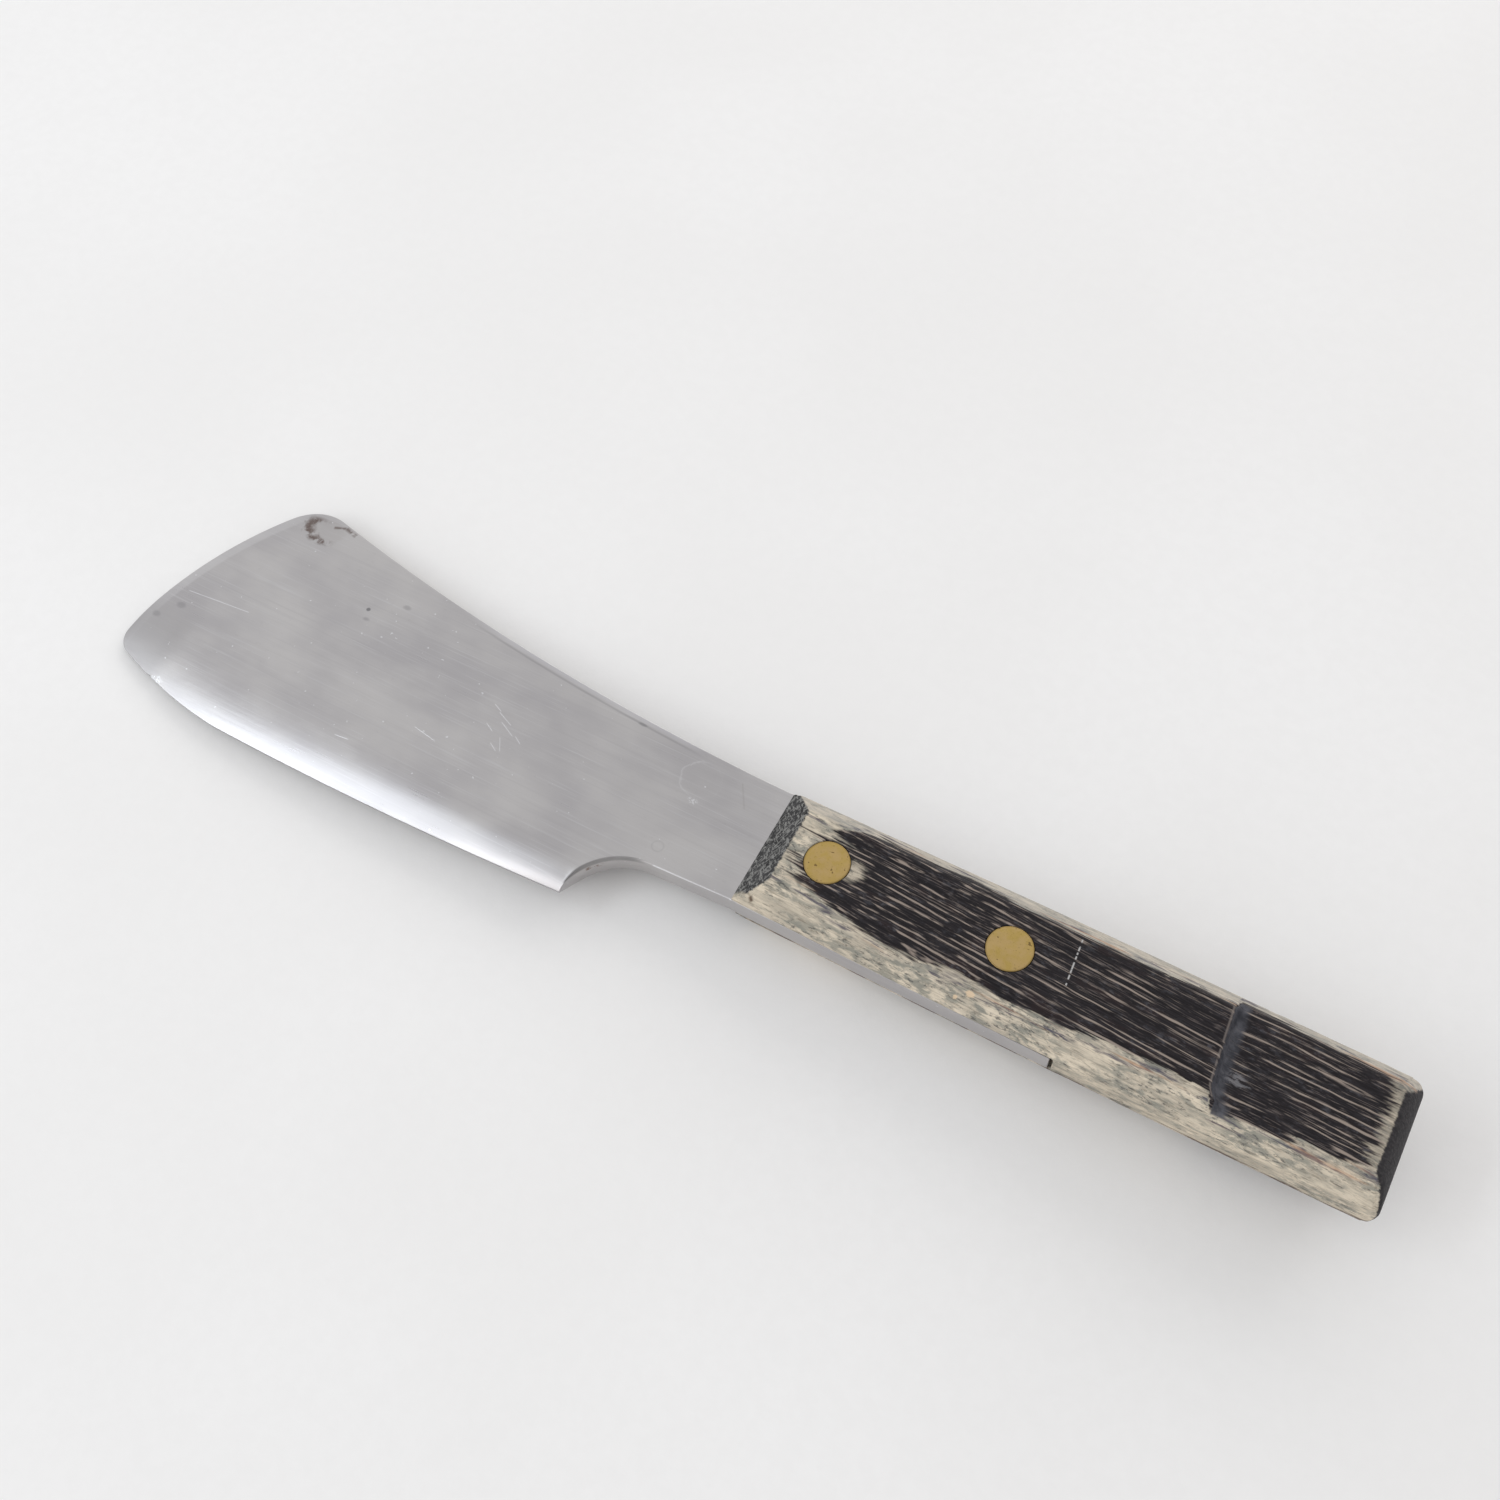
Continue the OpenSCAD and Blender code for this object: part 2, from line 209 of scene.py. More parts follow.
# ---------------- blade
def blade_curves():
    """The parts of the blade's outline, each from its end toward the tang, and the grind's line."""
    neck_half = side_of_handle(1, 2)[0, 1] - NECK_INSET
    spine_centre = np.array([
        SPINE_LOW_POINT, neck_half + math.sqrt(SPINE_RADIUS ** 2 - SPINE_LOW_POINT ** 2)])
    edge_centre = np.array([-EDGE_LOW_POINT, EDGE_RADIUS - EDGE_DROP])
    edge_turn = math.asin((BELLY_START - EDGE_LOW_POINT) / EDGE_RADIUS)
    belly = edge_centre - EDGE_RADIUS * np.array([math.sin(edge_turn), math.cos(edge_turn)])
    belly_way = np.array([math.sin(edge_turn + BELLY_TURN), math.cos(edge_turn + BELLY_TURN)])
    belly_centre = belly + BELLY_RADIUS * belly_way
    spine_corner = meet(spine_centre, SPINE_RADIUS + SPINE_CORNER_RADIUS,
                        END_CENTRE, END_RADIUS - SPINE_CORNER_RADIUS, -1)
    edge_corner = meet(belly_centre, BELLY_RADIUS - EDGE_CORNER_RADIUS,
                       END_CENTRE, END_RADIUS - EDGE_CORNER_RADIUS, -1)
    notch_centre = NOTCH_TOP - np.array([0.0, NOTCH_RADIUS])
    heel = meet(edge_centre, EDGE_RADIUS, notch_centre, NOTCH_RADIUS, -1)

    # Each corner's round is cut in two at its middle, where the end edge begins and ends.
    edge_round_ends = (on_circle(END_CENTRE, END_RADIUS, edge_corner),
                       on_circle(belly_centre, BELLY_RADIUS, edge_corner))
    spine_round_ends = (on_circle(END_CENTRE, END_RADIUS, spine_corner),
                        on_circle(spine_corner, SPINE_CORNER_RADIUS, spine_centre))
    edge_mid = on_circle(edge_corner, EDGE_CORNER_RADIUS, sum(edge_round_ends) / 2)
    spine_mid = on_circle(spine_corner, SPINE_CORNER_RADIUS, sum(spine_round_ends) / 2)
    end_edge = np.vstack([
        arc(edge_corner, edge_mid, edge_round_ends[0], 0.05),
        arc(END_CENTRE, edge_round_ends[0], spine_round_ends[0])[1:],
        arc(spine_corner, spine_round_ends[0], spine_mid, 0.1)[1:],
    ])
    cutting_edge = np.vstack([
        arc(edge_corner, edge_mid, edge_round_ends[1], 0.05),
        arc(belly_centre, edge_round_ends[1], belly)[1:],
        arc(edge_centre, belly, heel)[1:],
    ])
    spine = np.vstack([
        arc(spine_corner, spine_mid, spine_round_ends[1], 0.1),
        arc(spine_centre, spine_round_ends[1], np.array([0.0, neck_half]))[1:],
    ])
    notch = arc(notch_centre, heel, NOTCH_TOP, 0.05)
    neck = np.array([NOTCH_TOP, [0.0, -neck_half]])
    # The grind follows the belly's arc on past the corner, and runs out at the end edge.
    past = edge_round_ends[1] - belly_centre
    turn = -GRIND_OVERRUN / BELLY_RADIUS
    beyond = belly_centre + np.array([past[0] * math.cos(turn) - past[1] * math.sin(turn),
                                      past[0] * math.sin(turn) + past[1] * math.cos(turn)])
    ground = np.vstack([arc(belly_centre, beyond, belly), arc(edge_centre, belly, heel)[1:]])
    return end_edge, cutting_edge, notch, neck, spine, ground


def nicked(points):
    """The cutting edge with the small dents that it has near its far end."""
    tangents = np.gradient(points, axis=0)
    tangents /= np.linalg.norm(tangents, axis=1)[:, None]
    inward = np.column_stack([-tangents[:, 1], tangents[:, 0]])
    push = sum(depth * np.exp(-((points[:, 0] - x) / width) ** 2) for x, depth, width in NICKS)
    push += 0.02 * noise_at(np.column_stack([points, points[:, 0] * 0]), (1.1, 0.0, 0.0), 3)
    push[0] = push[-1] = 0.0
    return points + inward * np.maximum(push, 0.0)[:, None]


def outward(loop):
    """Mitred outward normals of a closed loop that runs anticlockwise."""
    before = loop - np.roll(loop, 1, axis=0)
    after = np.roll(loop, -1, axis=0) - loop
    normals = []
    for way in (before, after):
        way = way / np.linalg.norm(way, axis=1)[:, None]
        normals.append(np.column_stack([way[:, 1], -way[:, 0]]))
    total = normals[0] + normals[1]
    total /= np.linalg.norm(total, axis=1)[:, None]
    return total / np.maximum((total * normals[0]).sum(1), 0.5)[:, None]


def distance_to(path, points, chunk=4000):
    """Distance from each point to the nearest point of a path, and that point's x."""
    starts, steps = path[:-1], np.diff(path, axis=0)
    squares = (steps ** 2).sum(1)
    found, places = [], []
    for k in range(0, len(points), chunk):
        part = points[k:k + chunk, None, :] - starts[None]
        t = np.clip((part * steps[None]).sum(2) / squares[None], 0.0, 1.0)
        gaps = np.linalg.norm(part - t[..., None] * steps[None], axis=2)
        best = gaps.argmin(1)
        rows = np.arange(len(best))
        found.append(gaps[rows, best])
        places.append(starts[best, 0] + t[rows, best] * steps[best, 0])
    return np.concatenate(found), np.concatenate(places)


def blade_half_thickness(points, ground):
    """Half the blade's thickness: it thins toward its end, and a convex grind runs to the edge."""
    taper = (HALF_THICK - END_HALF_THICK) / (BLADE_LENGTH + TAPER_START)
    full = HALF_THICK - np.maximum(TAPER_START - points[:, 0], 0.0) * taper
    gap, edge_x = distance_to(ground, points)
    width = GRIND_HEEL_WIDTH + (GRIND_BELLY_WIDTH - GRIND_HEEL_WIDTH) * smooth_step(
        -edge_x, GRIND_HEEL, GRIND_BELLY)
    rise = 1.0 - (1.0 - np.clip(gap / width, 0.0, 1.0)) ** GRIND_POWER
    waves = noise_at(np.column_stack([points, points[:, 0] * 0]), (0.035, 0.08, 0.0), 5)
    end_gap = END_RADIUS - np.linalg.norm(points - END_CENTRE, axis=1)
    ease = np.clip(1.0 - end_gap / END_EASE_WIDTH, 0.0, 1.0) ** 2 * (points[:, 0] < END_CENTRE[0])
    full = full - END_EASE_DEPTH * ease
    return EDGE_HALF_THICK + (full - EDGE_HALF_THICK) * rise - WAVE_DEPTH * (1 + waves) * rise


def make_blade():
    end_edge, cutting_edge, notch, neck, spine, ground = blade_curves()
    # Columns join points of the bottom to points of the top, piece by piece.
    at_heel = np.interp(HEEL_COLUMN_X, spine[:, 0], np.linspace(0, 1, len(spine)))
    cut = int(round(at_heel * (len(spine) - 1)))
    cut_notch = int(np.argmin(np.abs(spine[:, 0] - NOTCH_TOP[0])))
    pieces = (
        (cutting_edge, spine[:cut + 1], eased(COLUMNS_EDGE, EDGE_SPREAD)),
        (notch, spine[cut:cut_notch + 1], eased(COLUMNS_NOTCH, NECK_SPREAD)),
        (neck, spine[cut_notch:], eased(COLUMNS_NECK, NECK_SPREAD)),
        (side_of_handle(-1, 200), side_of_handle(1, 200), eased(COLUMNS_TANG, TANG_SPREAD)),
    )
    bottom, top = (
        np.vstack([at_fractions(piece[k], piece[2])[:-1] for piece in pieces] + [pieces[-1][k][-1:]])
        for k in (0, 1))
    bottom[:COLUMNS_EDGE - 1] = nicked(bottom[:COLUMNS_EDGE - 1])
    rows = eased(ROWS, ROW_SPREAD)
    left = at_fractions(end_edge, rows)
    right = bottom[-1] + (top[-1] - bottom[-1]) * rows[:, None]
    left[0], left[-1] = bottom[0], top[0]

    # One closed loop round the blade, and the same loop drawn in by the rim's radius
    loop = np.vstack([bottom, right[1:-1], top[::-1], left[-2:0:-1]])
    columns, count = len(bottom), len(loop)
    sharp = np.zeros(count)
    sharp[:COLUMNS_EDGE - 1] = 1.0
    sharp[COLUMNS_EDGE - 1:COLUMNS_EDGE - 1 + RIM_CHANGE] = np.linspace(1.0, 0.0, RIM_CHANGE)
    sharp[-RIM_CHANGE:] = np.linspace(0.0, 1.0, RIM_CHANGE)
    radius = RIM_RADIUS + (EDGE_RIM_RADIUS - RIM_RADIUS) * sharp
    normals = outward(loop)
    inner = loop - normals * radius[:, None]
    bottom = inner[:columns]
    corner = columns + ROWS - 2
    right = inner[columns - 1:corner + 1]
    top = inner[corner:corner + columns][::-1]
    left = np.vstack([bottom[:1], inner[corner + columns:][::-1], top[:1]])

    # The face: straight columns, bent toward the curve of the end edge near the blade's end
    v = rows[None, :, None]
    grid = bottom[:, None] * (1 - v) + top[:, None] * v
    fade = np.zeros(columns)
    fade[:COLUMNS_EDGE] = (1.0 - eased(COLUMNS_EDGE, EDGE_SPREAD)) ** 2
    grid += fade[:, None, None] * (left - grid[0])[None]
    fade_tang = np.zeros(columns)
    fade_tang[-COLUMNS_TANG:] = np.linspace(0, 1, COLUMNS_TANG) ** 2
    grid += fade_tang[:, None, None] * (right - grid[-1])[None]
    flat = grid.reshape(-1, 2)
    half = blade_half_thickness(flat, ground)
    face = np.column_stack([flat, half])

    # Indices of the face's border in the order of the loop
    index = np.arange(columns * ROWS).reshape(columns, ROWS)
    border = np.concatenate([index[:, 0], index[-1, 1:-1], index[::-1, -1], index[0, -2:0:-1]])
    rings = []
    for k in range(1, RIM_STEPS + 1):
        turn = math.pi / 2 * k / RIM_STEPS
        z = half[border] - radius * (1.0 - math.cos(turn))
        rings.append(np.column_stack([loop - normals * (radius * (1 - math.sin(turn)))[:, None], z]))
    upper = np.vstack([face] + rings)
    lower = upper * np.array([1.0, 1.0, -1.0])
    points = np.vstack([upper, lower])
    squares = (index[:-1, :-1], index[1:, :-1], index[1:, 1:], index[:-1, 1:])
    quads = [np.stack(squares, -1).reshape(-1, 4)]
    ring_starts = [border] + [columns * ROWS + k * count + np.arange(count)
                              for k in range(RIM_STEPS)]
    for inside, outside in zip(ring_starts[:-1], ring_starts[1:]):
        quads.append(np.column_stack([outside, np.roll(outside, -1), np.roll(inside, -1), inside]))
    upper_faces = np.vstack(quads)
    size = len(upper)
    lower_faces = upper_faces[:, ::-1] + size
    last = ring_starts[-1]
    wall = np.column_stack([last + size, np.roll(last, -1) + size, np.roll(last, -1), last])
    faces = np.vstack([upper_faces, lower_faces, wall])
    blade = mesh_piece("knife_blade", points, faces.tolist())
    for rivet in RIVETS:
        low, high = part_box(rivet + "_tube")
        bore(blade, (low + high) / 2, RIVET_BORE * MM)
    finish_piece(blade, steel_material(), "steel", "blade")
    return blade


def mesh_piece(name, points, faces):
    """A new object from points in millimetres in the knife's own frame."""
    mesh = bpy.data.meshes.new(name)
    mesh.from_pydata(to_metres(points).tolist(), [], faces)
    mesh.update()
    mesh.polygons.foreach_set("use_smooth", np.ones(len(mesh.polygons), bool))
    return new_object(name, mesh)


def finish_piece(piece, material, slot, *nodes):
    """Gives a piece its material, and puts it in the place of its CAD nodes."""
    piece.data.materials.clear()
    piece.data.materials.append(material)
    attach(piece, "root")
    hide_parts(*nodes)


def apply_modifiers(piece):
    """Leaves the piece with the mesh that its modifiers make."""
    graph = bpy.context.evaluated_depsgraph_get()
    made = bpy.data.meshes.new_from_object(piece.evaluated_get(graph))
    old = piece.data
    piece.modifiers.clear()
    piece.data = made
    made.name = piece.name
    bpy.data.meshes.remove(old)


def bore(piece, centre, radius):
    """Cuts a round upright hole through a piece."""
    mesh = bpy.data.meshes.new("bore")
    shape = bmesh.new()
    bmesh.ops.create_cone(shape, cap_ends=True, segments=64, radius1=radius, radius2=radius,
                          depth=0.06, matrix=Matrix.Translation(centre))
    shape.to_mesh(mesh)
    shape.free()
    cutter = new_object("bore", mesh)
    cut = piece.modifiers.new("bore", "BOOLEAN")
    cut.operation, cut.object, cut.solver = "DIFFERENCE", cutter, "EXACT"
    apply_modifiers(piece)
    bpy.data.objects.remove(cutter)
    bpy.data.meshes.remove(mesh)


# ---------------- handle
def crest_half_width(x):
    """Half the width of the upper face at x: the chamfers' crests, wider over the thumb ramp."""
    floor = HALF_HEIGHT - RAMP_DEPTH + RAMP_DEPTH * (x - RAMP_FOOT) / (RAMP_END - RAMP_FOOT)
    top = np.where(x < RAMP_START, HALF_HEIGHT, np.minimum(floor, HALF_HEIGHT))
    slope = (HALF_WIDTH - FLAT_HALF_WIDTH) / (HALF_HEIGHT - BAND_HALF_HEIGHT)
    return FLAT_HALF_WIDTH + (HALF_HEIGHT - top) * slope


def make_handle():
    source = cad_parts["handle"]
    mesh = source.data.copy()
    mesh.name = "knife_handle"
    shape = bmesh.new()
    shape.from_mesh(mesh)
    bmesh.ops.remove_doubles(shape, verts=shape.verts, dist=1e-6)
    shape.to_mesh(mesh)
    shape.free()
    handle = new_object("knife_handle", mesh)
    remesh = handle.modifiers.new("remesh", "REMESH")
    remesh.mode, remesh.voxel_size, remesh.use_smooth_shade = "VOXEL", VOXEL * MM, True
    apply_modifiers(handle)
    mesh = handle.data
    points = np.empty(len(mesh.vertices) * 3)
    mesh.vertices.foreach_get("co", points)
    points = in_mm(points.reshape(-1, 3))
    edges = np.empty(len(mesh.edges) * 2, int)
    mesh.edges.foreach_get("vertices", edges)
    points = worn(points, edges.reshape(-1, 2))
    mesh.vertices.foreach_set("co", to_metres(points).ravel())
    mesh.update()
    finish_piece(handle, wood_material(), "handle_wood", "handle")
    return handle


def averaged(points, edges, degree):
    """The mean of each vertex's neighbours."""
    both = np.concatenate([edges, edges[:, ::-1]])
    sums = [np.bincount(both[:, 0], points[both[:, 1], k], len(points)) for k in range(3)]
    return np.column_stack(sums) / degree[:, None]


def butt_rounded(points):
    """Draws the upright corners at the butt in to rounds, seen from above."""
    x, y, z = points.T.copy()
    butt_x = HANDLE_LENGTH - BUTT_RADIUS + np.sqrt(np.maximum(BUTT_RADIUS ** 2 - z ** 2, 1.0))
    radius = np.where(y > 0, FAR_CORNER_RADIUS, NEAR_CORNER_RADIUS)
    half = np.interp(np.abs(z), [BAND_HALF_HEIGHT, HALF_HEIGHT], [HALF_WIDTH - 0.5, FLAT_HALF_WIDTH])
    dx, dy = x - (butt_x - radius), np.abs(y) - (half - radius)
    gap = np.hypot(dx, dy)
    outside = (dx > 0) & (dy > 0) & (gap > radius)
    scale = np.where(outside, radius / np.maximum(gap, 1e-6), 1.0)
    x = np.where(outside, butt_x - radius + dx * scale, x)
    y = np.where(outside, np.sign(y) * (half - radius + dy * scale), y)
    return np.column_stack([x, y, z])


def ramp_shift(y):
    """How far the ramp's step lies toward the butt at each y: it slants, and its near end curls."""
    return -RAMP_SLANT * (y + RAMP_SLANT_FROM) + RAMP_CURL * np.clip(
        (-y - RAMP_CURL_START) / RAMP_CURL_WIDTH, 0.0, 1.0) ** 2


def worn(points, edges):
    """Rounds the wood's edges by use, away from the saw cut and the rivets, and lets it undulate."""
    degree = np.bincount(edges.ravel(), minlength=len(points)).astype(float)
    x, y, z = points.T
    keep = np.maximum(smooth_step(np.abs(z), SLOT_HALF + SLOT_KEEP[0], SLOT_HALF + SLOT_KEEP[1]),
                      smooth_step(x, *SLOT_BACK))
    for rivet in RIVETS:
        centre = in_mm(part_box(rivet + "_stud")).mean(0)
        keep = keep * smooth_step(np.hypot(x - centre[0], y), *RIVET_KEEP)
    more = 1.0 + 1.6 * smooth_step(x, *BUTT_WEAR)
    amount = np.clip(SMOOTHING * keep * more, 0.0, MOST_SMOOTHING)[:, None]
    for _ in range(SMOOTH_ROUNDS):
        points = points + amount * (averaged(points, edges, degree) - points)
    points = butt_rounded(points)
    x, y, z = points.T
    near_step = np.exp(-((x - RAMP_FOOT) / RAMP_SHIFT_REACH) ** 2) * smooth_step(np.abs(z), 4.5, 5.5)
    points[:, 0] += ramp_shift(y) * near_step
    x = points[:, 0]
    out = np.column_stack([x * 0, y / HALF_WIDTH ** 2, z / HALF_HEIGHT ** 2])
    out /= np.linalg.norm(out, axis=1)[:, None]
    waves = noise_at(points, (0.05, 0.16, 0.16), 7) * 0.5 - 0.5
    grain = noise_at(np.column_stack([x, y + 0.06 * x, z]), (0.07, 1.3, 1.3), 11) - 0.6
    side = smooth_step(np.abs(y) - crest_half_width(x), -0.6, 0.6)
    chips = noise_at(points, (0.35, 0.8, 0.8), 13)
    chips = CHIP_PUSH * smooth_step(chips, 0.42, 0.6) * smooth_step(np.abs(y), 6.0, 7.4)
    push = WAVE_PUSH * waves + GRAIN_PUSH * grain + chips * (1 - 0.5 * side)
    return points + out * (push * keep)[:, None]


# ---------------- rivets
def lathe(name, profile, centre, segments=96):
    """A round solid from a profile of (radius, z) that starts and ends on its upright axis."""
    points, faces, ring_of = [], [], []
    for radius, z in profile:
        if radius < 1e-6:
            ring_of.append([len(points)] * segments)
            points.append((centre[0], centre[1], z))
            continue
        ring_of.append([len(points) + k for k in range(segments)])
        for k in range(segments):
            turn = 2 * math.pi * k / segments
            points.append((centre[0] + radius * math.cos(turn),
                           centre[1] + radius * math.sin(turn), z))
    for lower, upper in zip(ring_of, ring_of[1:]):
        for k in range(segments):
            n = (k + 1) % segments
            corners = [lower[k], lower[n], upper[n], upper[k]]
            faces.append([c for i, c in enumerate(corners) if c not in corners[:i]])
    return mesh_piece(name, points, faces)


def head_profile(radius, face, back):
    """The outer face of a rivet head, from its axis to its rim and back to the stem side."""
    down = np.sign(back - face)
    flat = radius - HEAD_RIM
    points = [(r, face + down * DOME * (r / radius) ** 2) for r in np.linspace(0.0, flat, HEAD_STEPS)]
    edge = face + down * DOME * (flat / radius) ** 2
    for k in range(1, HEAD_RIM_STEPS + 1):
        turn = math.pi / 2 * k / HEAD_RIM_STEPS
        points.append((flat + HEAD_RIM * math.sin(turn), edge + down * HEAD_RIM * (1 - math.cos(turn))))
    points.append((radius, back))
    return points


def make_rivets(material):
    for rivet in RIVETS:
        low, high = in_mm(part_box(rivet + "_stud"))
        centre, radius = (low + high)[:2] / 2, (high - low)[0] / 2
        top, stem_end, back = high[2], low[2], high[2] - HEAD_THICK
        profile = head_profile(radius, top, back)
        profile += [(STUD_RADIUS, back), (STUD_RADIUS, stem_end + STUD_EASE),
                    (STUD_RADIUS - STUD_EASE, stem_end), (0.0, stem_end)]
        stud = lathe("knife_" + rivet + "_stud", profile[::-1], centre)
        dent(stud, top, 1)
        finish_piece(stud, material, "rivet_brass", rivet + "_stud")
        low, high = in_mm(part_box(rivet + "_tube"))
        bottom, tube_end, back = low[2], high[2], low[2] + HEAD_THICK
        profile = head_profile(radius, bottom, back)
        profile += [(TUBE_RADIUS, back), (TUBE_RADIUS, tube_end - TUBE_EASE),
                    (TUBE_RADIUS - TUBE_EASE, tube_end), (TUBE_HOLE, tube_end),
                    (TUBE_HOLE, back), (0.0, back)]
        tube = lathe("knife_" + rivet + "_tube", profile, centre)
        dent(tube, bottom, -1)
        finish_piece(tube, material, "rivet_brass", rivet + "_tube")


def dent(piece, face, side):
    """Presses shallow hammer dents into a rivet head's outer face, which is up for side 1."""
    for vertex in piece.data.vertices:
        place = (vertex.co - ORIGIN) / MM
        if abs(place.z - face) < DENT_REACH:
            spot = Vector((place.x * DENT_SCALE, place.y * DENT_SCALE, face))
            vertex.co.z += side * DENT_DEPTH * min(noise.noise(spot) - 0.5, 0.0) * MM


# ---------------- material nodes
class Value:
    """A number that varies over a surface: an output socket, with arithmetic that adds nodes."""

    def __init__(self, nodes, socket):
        self.nodes, self.socket = nodes, socket

    def __add__(self, other):
        return self.nodes.math("ADD", self, other)

    def __sub__(self, other):
        return self.nodes.math("SUBTRACT", self, other)

    def __mul__(self, other):
        return self.nodes.math("MULTIPLY", self, other)

    def __abs__(self):
        return self.nodes.math("ABSOLUTE", self)

    def rise(self, low, high, start=0.0, end=1.0):
        """Goes smoothly from start to end as the value goes from low to high."""
        node = self.nodes.make("ShaderNodeMapRange", interpolation_type="SMOOTHSTEP")
        for socket, given in zip(node.inputs, (self, low, high, start, end)):
            self.nodes.feed(socket, given)
        return Value(self.nodes, node.outputs[0])

    def fall(self, low, high):
        """Goes smoothly from 1 to 0 as the value goes from low to high."""
        return self.rise(low, high, 1.0, 0.0)

    def ring(self, radius, width):
        """1 where the value is the radius, and 0 away from it."""
        return abs(self - radius).fall(0.0, width)


class Nodes:
    """Short calls that add nodes to a tree."""

    def __init__(self, tree):
        self.tree = tree

    def make(self, kind, **settings):
        node = self.tree.nodes.new(kind)
        for key, value in settings.items():
            setattr(node, key, value)
        return node

    def feed(self, socket, value):
        value = value.socket if isinstance(value, Value) else value
        if isinstance(value, bpy.types.NodeSocket):
            self.tree.links.new(value, socket)
        elif socket.type == "RGBA" and len(value) == 3:
            socket.default_value = (*value, 1.0)
        else:
            socket.default_value = value

    def math(self, operation, a, b=0.0, clamp=False):
        node = self.make("ShaderNodeMath", operation=operation, use_clamp=clamp)
        self.feed(node.inputs[0], a)
        self.feed(node.inputs[1], b)
        return Value(self, node.outputs[0])

    def biggest(self, *values):
        result = values[0]
        for value in values[1:]:
            result = self.math("MAXIMUM", result, value)
        return result

    def vector(self, operation, a, b):
        node = self.make("ShaderNodeVectorMath", operation=operation)
        self.feed(node.inputs[0], a)
        self.feed(node.inputs[1], b)
        return node.outputs[0]

    def split(self, vector):
        """The x, y and z of a vector."""
        node = self.make("ShaderNodeSeparateXYZ")
        self.feed(node.inputs[0], vector)
        return [Value(self, socket) for socket in node.outputs]

    def pack(self, x, y, z):
        node = self.make("ShaderNodeCombineXYZ")
        for socket, value in zip(node.inputs, (x, y, z)):
            self.feed(socket, value)
        return node.outputs[0]

    def mix(self, amount, a, b):
        """One colour for an amount of 0, and the other for 1."""
        node = self.make("ShaderNodeMix", data_type="RGBA")
        self.feed(node.inputs[0], amount)
        self.feed(node.inputs[6], a)
        self.feed(node.inputs[7], b)
        return node.outputs[2]


class Look(Nodes):
    """A material with one Principled shader, and places in millimetres in the knife's own frame."""

    def __init__(self, name):
        self.material = bpy.data.materials.new(name)
        self.material.use_nodes = True
        super().__init__(self.material.node_tree)
        self.shader = self.tree.nodes["Principled BSDF"]
        coordinates = self.make("ShaderNodeTexCoord").outputs["Object"]
        moved = self.vector("SUBTRACT", coordinates, tuple(ORIGIN))
        self.place = self.vector("MULTIPLY", moved, (1 / MM,) * 3)
        self.x, self.y, self.z = self.split(self.place)

    def noise(self, scale, detail, roughness, seed, place=None, distortion=0.0):
        """Noise about 0.5, with one scale per millimetre, or one for each axis."""
        scale = scale if isinstance(scale, tuple) else (scale,) * 3
        place = self.vector("MULTIPLY", place or self.place, scale)
        place = self.vector("ADD", place, (seed * 7.1, seed * 3.7, seed * 5.3))
        node = self.make("ShaderNodeTexNoise")
        for name, value in (("Vector", place), ("Scale", 1.0), ("Detail", detail),
                            ("Roughness", roughness), ("Distortion", distortion)):
            self.feed(node.inputs[name], value)
        return Value(self, node.outputs["Fac"])

    def away(self, centre, size, wobble=None):
        """How far a point lies from a centre in x and y, in units of a size for each axis."""
        dx = (self.x - centre[0]) * (1 / size[0])
        dy = (self.y - centre[1]) * (1 / size[1])
        gap = self.math("SQRT", dx * dx + dy * dy)
        return gap if wobble is None else gap + wobble

    def stroke(self, start, end, width):
        """1 along a straight scratch between two points and 0 away from it."""
        start, end = Vector(start), Vector(end)
        half, way = (end - start).length / 2, (end - start).normalized()
        dx, dy = self.x - start[0], self.y - start[1]
        along = dx * way[0] + dy * way[1]
        across = dx * -way[1] + dy * way[0]
        return abs(along - half).fall(half - STROKE_EASE, half) * abs(across).fall(0.0, width)

    def paint(self, amount, tone):
        """Lays a tone over the colour so far."""
        self.colour = self.mix(amount, self.colour, tone)

    def bump(self, height, depth):
        """Feeds a height from 0 to 1, as that depth in millimetres, to the shader's normal."""
        node = self.make("ShaderNodeBump")
        node.inputs["Strength"].default_value = 1.0
        node.inputs["Distance"].default_value = depth * MM
        self.feed(node.inputs["Height"], height)
        self.feed(self.shader.inputs["Normal"], node.outputs[0])

    def finish(self, **sockets):
        for name, value in sockets.items():
            self.feed(self.shader.inputs[name.replace("_", " ")], value)
        return self.material


STROKE_EASE = 0.4
# Scratches in the steel: two ends and a width. Its smudges: a centre and a size.
STEEL_SCRATCHES = (
    ((-127.4, -2.8), (-112.9, -1.6), 0.14),
    ((-56.5, 1.8), (-52.7, 0.2), 0.12),
    ((-53.4, -2.6), (-51.6, -5.4), 0.12),
    ((-51.0, -1.2), (-49.0, -2.4), 0.12),
    ((-55.0, 0.2), (-51.2, -1.6), 0.12),
    ((-81.5, -16.2), (-78.2, -15.9), 0.14),
    ((-69.0, -8.0), (-63.5, -8.9), 0.10),
    ((-58.3, 2.9), (-56.0, 1.9), 0.12),
    ((-57.4, -1.2), (-55.1, -2.4), 0.10),
    ((-54.4, -4.4), (-52.3, -5.6), 0.12),
)
STEEL_SMUDGES = (
    ((-126.4, -6.2), (1.5, 0.9)),
    ((-129.6, -10.0), (1.3, 0.8)),
    ((-91.3, 7.5), (1.1, 0.6)),
    ((-85.6, 13.2), (1.2, 0.7)),
)


